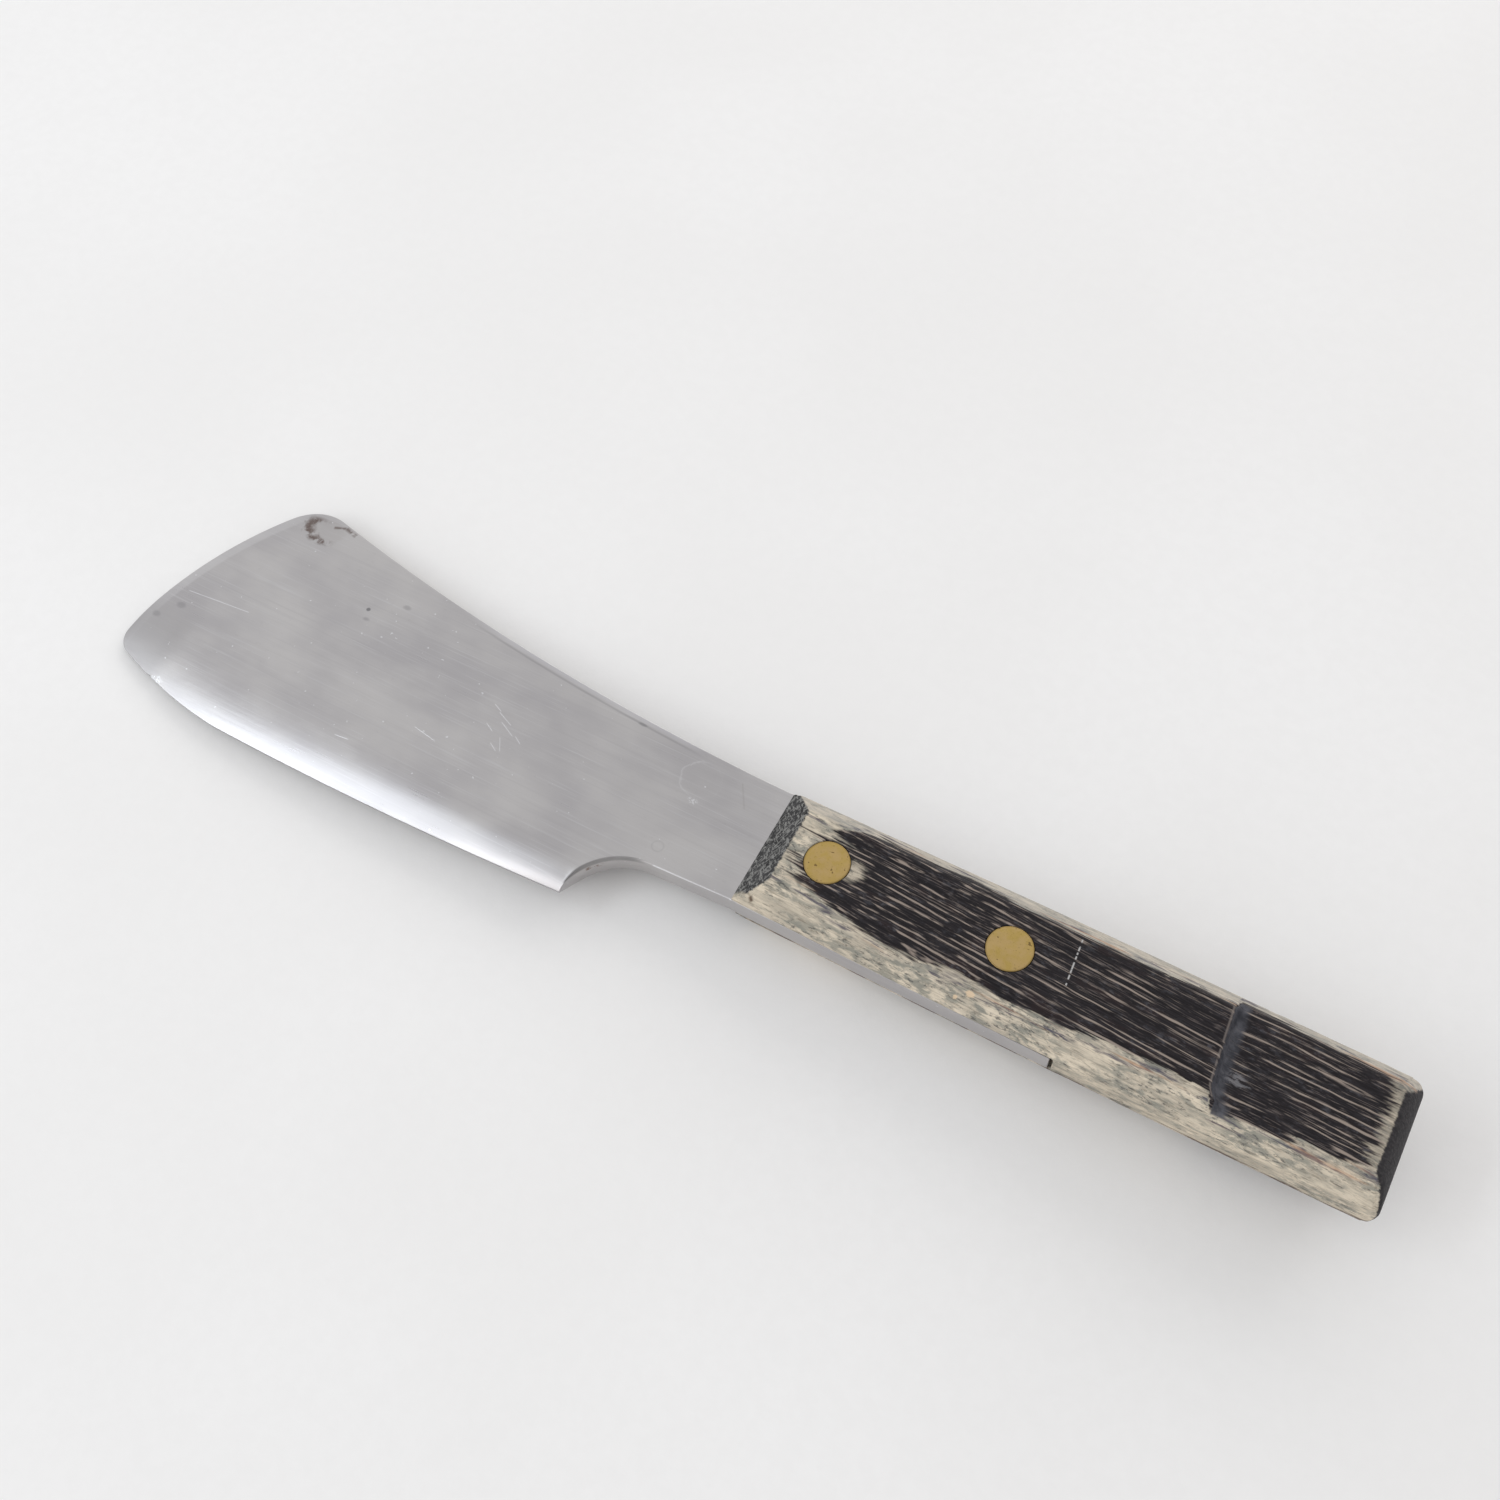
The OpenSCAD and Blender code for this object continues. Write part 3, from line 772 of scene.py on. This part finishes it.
def steel_material():
    look = Look("steel")
    x, y, z = look.x, look.y, look.z
    fine = look.noise((0.05, 3.6, 3.6), 3.0, 0.65, 1)
    coarse = look.noise((0.025, 1.7, 1.7), 3.0, 0.6, 2)
    cloud = look.noise((0.045, 0.07, 0.07), 3.0, 0.55, 3)
    grit = look.noise((0.9, 1.4, 1.4), 2.0, 0.6, 4)
    wobble = (look.noise(0.5, 4.0, 0.7, 5) - 0.5) * 0.9
    look.colour = look.mix(cloud.rise(0.3, 0.7), (0.49, 0.472, 0.48), (0.59, 0.57, 0.564))
    look.paint(fine.rise(0.52, 0.75) * 0.45, (0.66, 0.65, 0.66))
    look.paint(coarse.rise(0.5, 0.72) * 0.22, (0.44, 0.425, 0.43))
    look.paint(grit.rise(0.62, 0.75) * 0.1, (0.38, 0.36, 0.36))

    # Brown stain round the corner of end and spine, rust flecks in the notch, and painted light: a
    # highlight along the end edge, shade at the tip and a shade line along the notch's rim
    loop_gap = look.away((-110.6, 21.4), (4.7, 3.0), wobble)
    blotchy = look.noise(0.7, 3.0, 0.6, 6).rise(0.34, 0.52)
    left_arc = loop_gap.ring(0.95, 0.42) * x.fall(-110.6, -107.4) * y.fall(22.6, 24.0)
    right_arc = look.biggest(look.stroke((-110.4, 22.5), (-107.6, 23.5), 0.55),
                             look.stroke((-108.0, 23.5), (-104.7, 22.7), 0.75))
    loop = look.biggest(left_arc, right_arc * 0.85) * blotchy
    look.paint(loop_gap.fall(0.55, 0.95) * 0.18, (0.42, 0.39, 0.37))
    look.paint(loop * 0.9, (0.15, 0.11, 0.095))
    end_gap = look.away(END_CENTRE, (END_RADIUS, END_RADIUS))
    # Painted highlight: a paler band along the eased end edge
    end_highlight = end_gap.rise(0.967, 0.976) * x.fall(-121.0, -112.0)
    look.paint(end_highlight * 0.3, (0.72, 0.71, 0.72))
    # Painted shade: the colour at the tip is darkened to dim the key light's reflection on it
    tip_painted_shade = (x + wobble * 2.0).fall(-123.6, -118.6) * y.fall(-14.0, -2.0)
    look.paint(tip_painted_shade * 0.7, (0.41, 0.396, 0.4))
    smudge = look.biggest(*(look.away(centre, size, wobble).fall(0.3, 1.0)
                            for centre, size in STEEL_SMUDGES))
    look.paint(smudge * 0.4, (0.27, 0.26, 0.27))
    rust = look.away((-24.2, -16.6), (2.1, 1.7), wobble).fall(0.6, 1.0) * abs(z - 0.5).fall(0.25, 0.7)
    rust = rust * look.noise((1.0, 1.0, 3.4), 3.0, 0.6, 7).rise(0.44, 0.54)
    look.paint(rust * 0.75, (0.19, 0.09, 0.05))
    # Painted shade: a dark line along the top rim of the notch
    notch_gap = look.away(NOTCH_TOP - (0.0, NOTCH_RADIUS), (NOTCH_RADIUS, NOTCH_RADIUS))
    notch_rim_shade = y.rise(-25.0, -12.6, 1.0, 0.6) * notch_gap.fall(1.012, 1.03)
    notch_rim_shade = notch_rim_shade * x.fall(-19.0, -16.0) * z.rise(0.9, 1.5)
    look.paint(notch_rim_shade * 0.75, (0.1, 0.095, 0.095))

    # A narrow paler border with a darker line inside it along the spine
    spine_gap = look.away((SPINE_LOW_POINT, HALF_WIDTH - 0.5 + SPINE_RADIUS), (1.0, 1.0))
    along_spine = x.rise(-76.0, -62.0) * x.fall(-24.0, -16.0)
    border = spine_gap.fall(SPINE_RADIUS + 0.7, SPINE_RADIUS + 1.2) * along_spine
    look.paint(border * 0.35, (0.68, 0.67, 0.7))
    spine_line = spine_gap.ring(SPINE_RADIUS + 1.35, 0.35) * along_spine
    look.paint(spine_line * 0.5, (0.33, 0.32, 0.33))

    # Dried drops near the handle: a thin pale ring, a small ring and a dark run
    drop = look.away((-16.0, 6.4), (3.9, 3.6), wobble * 0.45)
    drop_ring = drop.ring(1.0, 0.08) * x.rise(-18.5, -15.5, 1.0, 0.1)
    small_ring = look.away((-16.2, -8.4), (1.1, 1.0), wobble * 0.4).ring(1.0, 0.25)
    look.paint(drop.fall(0.6, 1.0) * 0.12, (0.45, 0.43, 0.43))
    look.paint(drop_ring * 0.3, (0.75, 0.74, 0.75))
    look.paint(small_ring * 0.22, (0.36, 0.35, 0.35))
    run = look.stroke((-9.2, 9.3), (-6.2, 4.6), 0.25)
    look.paint(run * 0.3, (0.38, 0.36, 0.34))

    # Pale specks and short scratches, and a painted highlight along the neck's rim
    speck = look.noise(1.1, 1.0, 0.5, 8).rise(0.765, 0.8)
    marks = look.away((-15.3, 2.0), (1.5, 1.0), wobble * 1.6).fall(0.4, 0.9)
    marks = marks * look.noise(2.6, 2.0, 0.6, 10).rise(0.46, 0.56)
    nick = look.away((-120.6, -21.6), (2.1, 0.8), wobble * 1.8).fall(0.5, 0.95)
    nick = nick * look.noise((1.9, 2.6, 2.6), 2.0, 0.6, 9).rise(0.44, 0.58)
    # Painted highlight: a pale line along the neck's top rim
    neck_rim_highlight = look.stroke(NOTCH_TOP, (0.4, -11.42), 0.3) * z.rise(1.9, 2.1)
    scratches = look.biggest(*(look.stroke(*scratch) for scratch in STEEL_SCRATCHES))
    pale = look.biggest(speck * 0.6, marks * 0.55, nick * 0.85, neck_rim_highlight * 0.8, scratches * 0.55)
    look.paint(pale, (0.85, 0.85, 0.87))
    dents = look.biggest(look.away((-92.2, 9.5), (0.55, 0.5), wobble * 0.5).fall(0.5, 1.0),
                         look.away((-31.2, 11.4), (1.1, 0.4), wobble * 0.8).fall(0.5, 1.0) * 0.5)
    look.paint(dents * 0.7, (0.14, 0.14, 0.15))
    roughness = fine * 0.12 + cloud * 0.1 + look.biggest(loop, rust, nick * 0.5) * 0.25 + 0.2
    height = fine * 0.45 + coarse * 0.75 + look.biggest(dents, scratches) * -1.2
    height = height + nick * (grit * 5.0 - 2.5)
    look.bump(height, 0.011)
    return look.finish(Base_Color=look.colour, Metallic=1.0, Roughness=roughness)


def brass_material():
    look = Look("rivet_brass")
    cloud = look.noise(0.5, 4.0, 0.6, 11)
    grit = look.noise(2.6, 3.0, 0.6, 12)
    look.colour = look.mix(cloud.rise(0.35, 0.65), (0.49, 0.345, 0.108), (0.52, 0.365, 0.155))
    look.paint(grit.rise(0.58, 0.72) * 0.45, (0.27, 0.19, 0.06))
    pits = look.noise(1.3, 1.0, 0.5, 13).rise(0.7, 0.76)
    look.paint(pits * 0.8, (0.16, 0.1, 0.04))

    # Grime round the rim of each head
    rims = []
    for rivet in RIVETS:
        low, high = in_mm(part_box(rivet + "_stud"))
        gap = look.away((low + high)[:2] / 2, [(high - low)[0] / 2] * 2)
        rims.append(gap.rise(0.9, 0.99) * gap.fall(1.2, 1.3))
    grime = look.biggest(*rims)
    look.paint(grime * 0.55, (0.2, 0.13, 0.05))
    look.bump(grit * 0.7 + pits * -1.0, 0.02)
    return look.finish(Base_Color=look.colour, Metallic=0.9, Roughness=grit * 0.25 + 0.36)


def wood_material():
    look = Look("handle_wood")
    x, y, z = look.x, look.y, look.z
    height_abs = abs(z)
    width_abs = abs(y)
    # Grain runs nearly along the handle, a few degrees toward the near side.
    across_grain = y + x * 0.06
    along = look.pack(x, across_grain, z)

    def grain(scale, detail, roughness, seed, distortion=0.0):
        return look.noise(scale, detail, roughness, seed, along, distortion)

    streak = grain((0.035, 1.5, 1.5), 3.0, 0.6, 21)
    fine_streak = grain((0.09, 4.2, 4.2), 3.0, 0.65, 22)
    patch = grain((0.1, 0.3, 0.3), 3.0, 0.6, 23)
    mottle = grain((0.3, 0.85, 0.85), 4.0, 0.65, 24, 0.4)
    speckle = grain((0.75, 2.0, 2.0), 3.0, 0.7, 25)

    # Pale worn wood of the chamfers, sides and front
    cream = look.mix(patch.rise(0.35, 0.65), (0.74, 0.645, 0.51), (0.52, 0.46, 0.37))
    cream = look.mix(fine_streak.rise(0.48, 0.68) * 0.55, cream, (0.29, 0.245, 0.195))
    clouds = grain((0.07, 0.22, 0.22), 3.0, 0.6, 39).rise(0.32, 0.56)
    cream = look.mix(mottle.rise(0.43, 0.59) * clouds * 0.78, cream, (0.215, 0.22, 0.195))
    pores = grain((0.34, 2.4, 2.4), 3.0, 0.65, 40).rise(0.54, 0.68)
    cream = look.mix(pores * 0.55, cream, (0.19, 0.165, 0.13))
    cream = look.mix(speckle.rise(0.55, 0.66) * clouds * 0.75, cream, (0.075, 0.075, 0.075))
    cream = look.mix(mottle.fall(0.22, 0.42) * 0.5, cream, (0.86, 0.75, 0.6))
    cream = look.mix(y.rise(6.5, 8.5) * 0.45, cream, (0.44, 0.42, 0.39))

    # Dark finish with the pale lines of worn grain
    bend = grain((0.02, 0.22, 0.22), 2.0, 0.5, 26)
    ripple = grain((0.11, 0.5, 0.5), 2.0, 0.6, 43)
    to_back = x.rise(35.0, 70.0)
    phase = across_grain * 0.85 + (bend * 2.4 + ripple * 0.7)
    wave = abs(look.math("COSINE", phase * math.pi))
    broken = grain((0.24, 1.1, 0.5), 2.0, 0.6, 27)
    whole = grain((0.06, 0.95, 0.5), 3.0, 0.6, 44)
    gate = whole * (to_back * 0.65 + 0.35) + broken * (to_back * -0.65 + 0.65)
    line = wave.rise(0.84, 0.99) * gate.rise(0.46, 0.56)
    thin_phase = across_grain * 2.1 + (bend * 5.2 + ripple * 1.6)
    thin_wave = abs(look.math("COSINE", thin_phase * math.pi))
    thin_gate = grain((0.17, 1.5, 1.0), 3.0, 0.65, 28)
    thin = thin_wave.rise(0.76, 0.99) * thin_gate.rise(0.5, 0.62)
    dashes = grain((0.26, 2.7, 2.7), 3.0, 0.65, 45).rise(0.58, 0.7)
    dark = look.mix(fine_streak.rise(0.4, 0.7), (0.0105, 0.0085, 0.01), (0.025, 0.0215, 0.0245))
    dark = look.mix(patch.rise(0.52, 0.66) * 0.5, dark, (0.03, 0.018, 0.018))
    scuff = look.noise((0.5, 1.1, 1.1), 4.0, 0.7, 29).rise(0.52, 0.7) * patch.rise(0.36, 0.58)
    dark = look.mix(scuff * 0.6, dark, (0.085, 0.085, 0.098))
    dark = look.mix(dashes * 0.45, dark, (0.17, 0.14, 0.13))
    dark = look.mix(thin * 0.42, dark, (0.24, 0.195, 0.175))
    dark = look.mix(line * 0.9, dark, (0.33, 0.27, 0.23))

    # Where the dark finish is left: inside the chamfers' crests, and behind the front
    slanted_x = x + (y + RAMP_SLANT_FROM) * RAMP_SLANT
    ramp_top = slanted_x.rise(RAMP_START, RAMP_FOOT)
    widening = (HALF_WIDTH - FLAT_HALF_WIDTH) / (HALF_HEIGHT - BAND_HALF_HEIGHT) * RAMP_DEPTH
    left_over = look.math("DIVIDE", x * -1.0 + RAMP_END, RAMP_END - RAMP_FOOT, clamp=True)
    crest = ramp_top * left_over * widening + FLAT_HALF_WIDTH
    across = width_abs - crest
    edge_noise = (streak - 0.5) * 2.6 + (patch - 0.5) * 2.4
    swell = x.rise(14.0, 30.0) * x.fall(56.0, 74.0)
    far_reach = y.rise(-0.5, 0.5) * x.rise(8.0, 18.0) * x.rise(34.0, 46.0, 2.0, 0.9)
    near_bulge = x.rise(18.0, 26.0) * x.fall(38.0, 48.0)
    near_reach = y.fall(-0.5, 0.5) * (swell * 0.9 + near_bulge * 0.3)
    front_loss = x.rise(8.0, 20.0, -1.7, 0.0)
    across = across + edge_noise - (near_reach + far_reach + front_loss)
    inside = across.fall(-0.45, 0.15)
    worn_front = x + ((streak - 0.5) * 22.0 + (patch - 0.5) * 16.0)
    inside = inside * worn_front.rise(8.5, 13.0)
    halo = look.away((17.4, 0.2), (2.6, 2.4), (streak - 0.5) * 2.0).rise(0.4, 1.0)
    inside = inside * (halo * 0.7 + 0.3)
    inside = inside * (x + (streak - 0.5) * 9.0).rise(106.6, 108.4, 1.0, 0.35)
    look.colour = look.mix(inside, cream, dark)

    # Blue-purple and orange stains along the boundary
    band = (across - 0.75).ring(0.0, 0.75)
    ink = band * grain((0.14, 1.2, 1.2), 3.0, 0.6, 30).rise(0.48, 0.58)
    look.paint(ink * 0.8, (0.05, 0.047, 0.085))
    rusty = grain((0.05, 0.5, 0.5), 2.0, 0.5, 31).rise(0.55, 0.66)
    rusty = (across - 0.3).ring(0.0, 1.0) * rusty
    look.paint(rusty * 0.55, (0.45, 0.22, 0.11))
    ragged = (mottle - 0.5) * 1.6
    chips = look.biggest(look.away((43.6, -9.2), (1.0, 0.7), ragged).fall(0.5, 0.9),
                         look.away((41.5, -10.3), (0.5, 0.45), ragged).fall(0.5, 0.9))
    look.paint(chips * 0.75, (0.8, 0.6, 0.4))
    knot = look.biggest(look.stroke((1.4, -9.3), (4.0, -10.4), 0.35) * 0.5,
                        look.stroke((3.3, -10.0), (4.1, -10.9), 0.6))
    look.paint(knot * 0.85, (0.07, 0.035, 0.018))

    # A dark patchy band along the lower edge of the tang
    under = z.rise(-3.6, -3.0) * z.fall(-2.2, -1.8)
    tang_low_band = under * look.noise((0.16, 0.6, 1.4), 3.0, 0.6, 32).rise(0.44, 0.56)
    look.paint(tang_low_band * 0.85, (0.07, 0.04, 0.035))

    # Step of the thumb ramp: smeared dark, with a pale worn crest
    curl = look.math("DIVIDE", y * -1.0 - RAMP_CURL_START, RAMP_CURL_WIDTH, clamp=True)
    step_x = slanted_x + curl * curl * -RAMP_CURL
    wall = step_x.rise(RAMP_START - 0.1, RAMP_START + 0.25)
    wall = wall * (step_x + (mottle - 0.5) * 2.0).fall(RAMP_FOOT + 0.5, RAMP_FOOT + 1.9)
    wall = wall * (height_abs.rise(5.0, 5.6) * (width_abs - crest).fall(0.1, 0.5))
    smear = look.noise(0.5, 3.0, 0.6, 33).rise(0.3, 0.7)
    smear = look.mix(smear, (0.045, 0.046, 0.056), (0.105, 0.105, 0.12))
    look.paint(wall * 0.95, smear)
    crest_line = step_x.ring(RAMP_START - 0.15, 0.32) * height_abs.rise(7.2, 7.8)
    crest_line = crest_line * look.noise((0.3, 0.8, 0.8), 2.0, 0.5, 34).rise(0.35, 0.5)
    crest_line = crest_line * width_abs.fall(7.4, 8.2)
    look.paint(crest_line * 0.5, (0.28, 0.24, 0.22))
    smudge = look.away((85.8, -2.6), (2.6, 1.7), (mottle - 0.5) * 2.4).fall(0.3, 1.0)
    smudge = smudge * speckle.rise(0.42, 0.58)
    look.paint(smudge * 0.6, (0.24, 0.235, 0.25))
    worn_through = look.noise((0.2, 1.5, 0.2), 2.0, 0.5, 35).rise(0.42, 0.52)
    scratch = look.stroke((55.9, 7.0), (56.7, -2.2), 0.22) * worn_through
    look.paint(scratch * 0.9, (0.55, 0.54, 0.53))

    # Front slope: end grain with light hatched flecks
    slope_x = (height_abs - HALF_THICK) * (FRONT_SLOPE_LENGTH / (HALF_HEIGHT - HALF_THICK))
    front = (x - slope_x + (speckle - 0.5) * 0.9).fall(0.25, 0.55)
    turned = look.pack(y * 0.75 + x * 0.9, y * -0.65 + x * 1.1, z)
    hatch = look.noise((2.6, 0.7, 0.6), 2.0, 0.6, 36, turned)
    cross_hatch = look.noise((0.7, 2.6, 0.6), 2.0, 0.6, 37, turned)
    flecks = look.biggest(hatch.rise(0.52, 0.62), cross_hatch.rise(0.53, 0.63))
    end_grain = look.mix(patch.rise(0.3, 0.7), (0.027, 0.0265, 0.027), (0.056, 0.055, 0.056))
    end_grain = look.mix(flecks * 0.65, end_grain, (0.33, 0.325, 0.31))
    corner = (width_abs + (mottle - 0.5) * 2.0).fall(9.6, 10.6)
    look.paint(front * look.biggest(corner, y.rise(-0.5, 0.5)), end_grain)

    # Butt: dark end grain inside its rounded rim
    butt_x = HANDLE_LENGTH - BUTT_RADIUS
    from_axis = look.math("SQRT", look.math("POWER", x - butt_x, 2.0) + z * z)
    butt = (from_axis + (speckle - 0.5) * 0.5).rise(BUTT_RADIUS - 0.55, BUTT_RADIUS - 0.3)
    butt = butt * x.rise(butt_x + 4.0, butt_x + 6.0)
    pores = look.noise((0.6, 2.2, 2.2), 3.0, 0.6, 38)
    butt_colour = look.mix(pores.rise(0.35, 0.7), (0.027, 0.025, 0.027), (0.052, 0.047, 0.049))
    look.paint(butt, butt_colour)

    roughness = inside * -0.08 + (fine_streak * 0.2 + 0.58)
    relief = fine_streak * 0.5 + streak * 0.5 + look.biggest(line, thin * 0.5) * -0.55
    relief = relief + flecks * front * 0.5
    look.bump(relief, 0.1)
    return look.finish(Base_Color=look.colour, Roughness=roughness, Specular_IOR_Level=0.16)


# ---------------- floor, lights and camera
def resting_slope(blade, handle):
    """The slope and height of the surface under the blade's far end and the handle's front."""
    def outline(piece):
        places = np.empty(len(piece.data.vertices) * 3)
        piece.data.vertices.foreach_get("co", places)
        return places.reshape(-1, 3)[:, [0, 2]]
    far, near = outline(blade), outline(handle)
    far = far[far[:, 0] < ORIGIN.x - 0.5 * BLADE_LENGTH * MM]
    near = near[near[:, 0] < ORIGIN.x + 0.3 * HANDLE_LENGTH * MM]
    slope = 0.0
    for _ in range(4):
        first = far[(far[:, 1] - slope * far[:, 0]).argmin()]
        second = near[(near[:, 1] - slope * near[:, 0]).argmin()]
        slope = (second[1] - first[1]) / (second[0] - first[0])
    return slope, first[1] - slope * first[0]


def make_floor(slope, height):
    mesh = bpy.data.meshes.new("floor")
    half = FLOOR_SIZE / 2
    corners = [(sx * half, sy * half, height + slope * sx * half - FLOOR_GAP * MM)
               for sx, sy in ((-1, -1), (1, -1), (1, 1), (-1, 1))]
    mesh.from_pydata(corners, [], [(0, 1, 2, 3)])
    floor = new_object("floor", mesh)
    look = Look("floor")
    grain = look.noise(0.35, 4.0, 0.6, 41)
    cloud = look.noise(0.01, 2.0, 0.5, 42)
    look.colour = look.mix(cloud.rise(0.3, 0.7), FLOOR_LOW, FLOOR_HIGH)
    look.paint(grain.rise(0.3, 0.7) * 0.25, FLOOR_GRAIN)
    look.bump(grain, 0.05)
    mesh.materials.append(look.finish(Base_Color=look.colour, Roughness=0.75, Specular_IOR_Level=0.2))


def make_world():
    """Pale surroundings: what the camera and metal see of them differs from the light they give."""
    world = bpy.data.worlds.new("studio")
    bpy.context.scene.world = world
    world.use_nodes = True
    nodes = Nodes(world.node_tree)
    path = nodes.make("ShaderNodeLightPath").outputs
    seen = nodes.biggest(path["Is Camera Ray"], path["Is Glossy Ray"], path["Is Transmission Ray"])
    # The surroundings are paler toward the blade's end than toward the butt.
    way_x = nodes.split(nodes.make("ShaderNodeTexCoord").outputs["Generated"])[0]
    paler = way_x.rise(0.2, -0.8, WORLD_SEEN_RIGHT, WORLD_SEEN_LEFT)
    background = nodes.tree.nodes["Background"]
    nodes.feed(background.inputs["Strength"], seen.rise(0.0, 1.0, WORLD_LIGHT, paler))
    nodes.feed(background.inputs["Color"], WORLD_COLOUR)


def make_softbox(name, place, aim, size, power, colour):
    """A rectangular studio light at a place, facing another."""
    data = bpy.data.lights.new(name, "AREA")
    data.shape = "RECTANGLE"
    data.size, data.size_y = size
    data.energy = power
    data.color = colour
    light = new_object(name, data)
    light.location = place
    light.rotation_euler = (Vector(aim) - Vector(place)).to_track_quat("-Z", "Y").to_euler()


def make_camera():
    data = bpy.data.cameras.new("camera")
    data.lens, data.sensor_width, data.clip_start = LENS, SENSOR_WIDTH, CLIP_START
    camera = new_object("camera", data)
    back = -CAMERA_WAY.normalized()
    right = CAMERA_UP.cross(back).normalized()
    turn = Matrix((right, back.cross(right), back)).transposed().to_4x4()
    camera.matrix_world = Matrix.Translation(ORIGIN + CAMERA_PLACE * MM) @ turn
    bpy.context.scene.camera = camera


# ---------------- the scene
blade = make_blade()
handle = make_handle()
make_rivets(brass_material())
make_floor(*resting_slope(blade, handle))
make_world()
for softbox in SOFTBOXES:
    make_softbox(*softbox)
make_camera()
bpy.context.scene.view_settings.view_transform = "Standard"
